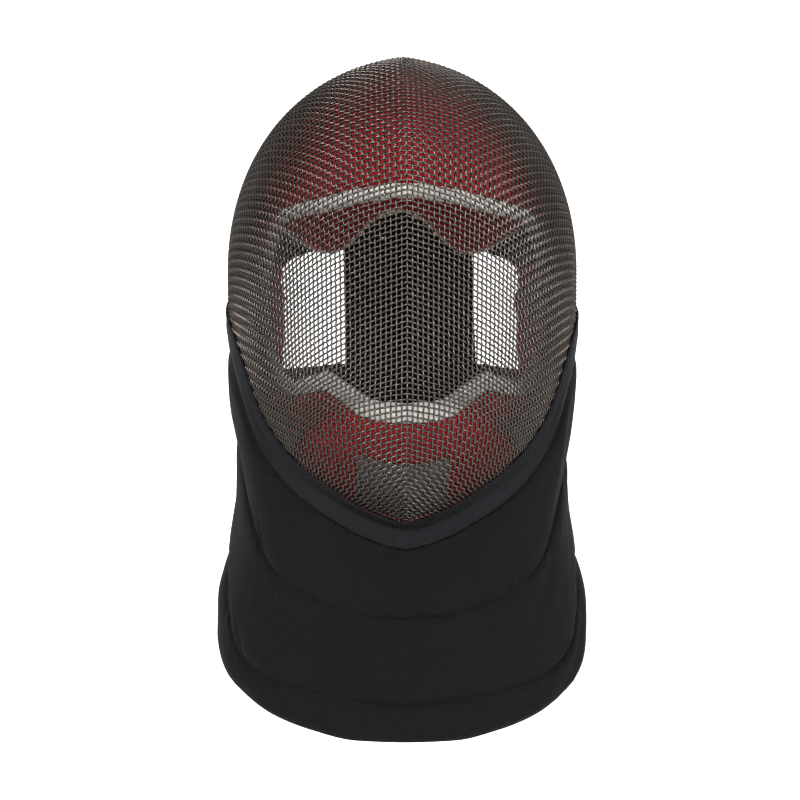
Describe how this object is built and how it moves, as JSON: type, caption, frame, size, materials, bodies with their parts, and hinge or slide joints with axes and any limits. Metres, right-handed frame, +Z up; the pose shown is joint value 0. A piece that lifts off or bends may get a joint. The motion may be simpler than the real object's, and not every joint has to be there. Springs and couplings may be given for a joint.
{
  "type": "fencing mask",
  "caption": "Wire-mesh fencing mask with a front ridge, bound edges, padded lining round a face window, a quilted neck bib, a sprung tongue and a back strap.",
  "frame": {"origin": "the highest point of the crown lining's inner face, where the mask sits on the top of the head, in the middle plane", "axes": "+Z up, -Y the way the face looks, +X to the right as seen from the front"},
  "size_m": [0.2176, 0.2373, 0.4026],
  "materials": {
    "wire_steel": "dull woven stainless wire, shown as one thin wall",
    "black_cloth": "matte black cloth over padding",
    "black_tape": "matte black binding tape",
    "red_cloth": "soft dark red cloth over padding",
    "white_tape": "matte cream cotton tape",
    "elastic": "matte black woven elastic",
    "grey_pile": "short dull grey pile"
  },
  "bodies": {
    "root": {"wire_mesh": "wire_steel", "rear_binding": "black_tape", "lower_band": "black_tape", "bib": "black_cloth", "window_tape": "white_tape", "crown_lining": "red_cloth", "cheek_lining": "red_cloth", "temple_lining_left": "black_cloth", "temple_lining_right": "black_cloth", "chin_patch": "grey_pile", "tongue_pad": "black_cloth", "tongue_hanger": "black_tape", "back_strap": "elastic"}
  },
  "joints": []
}
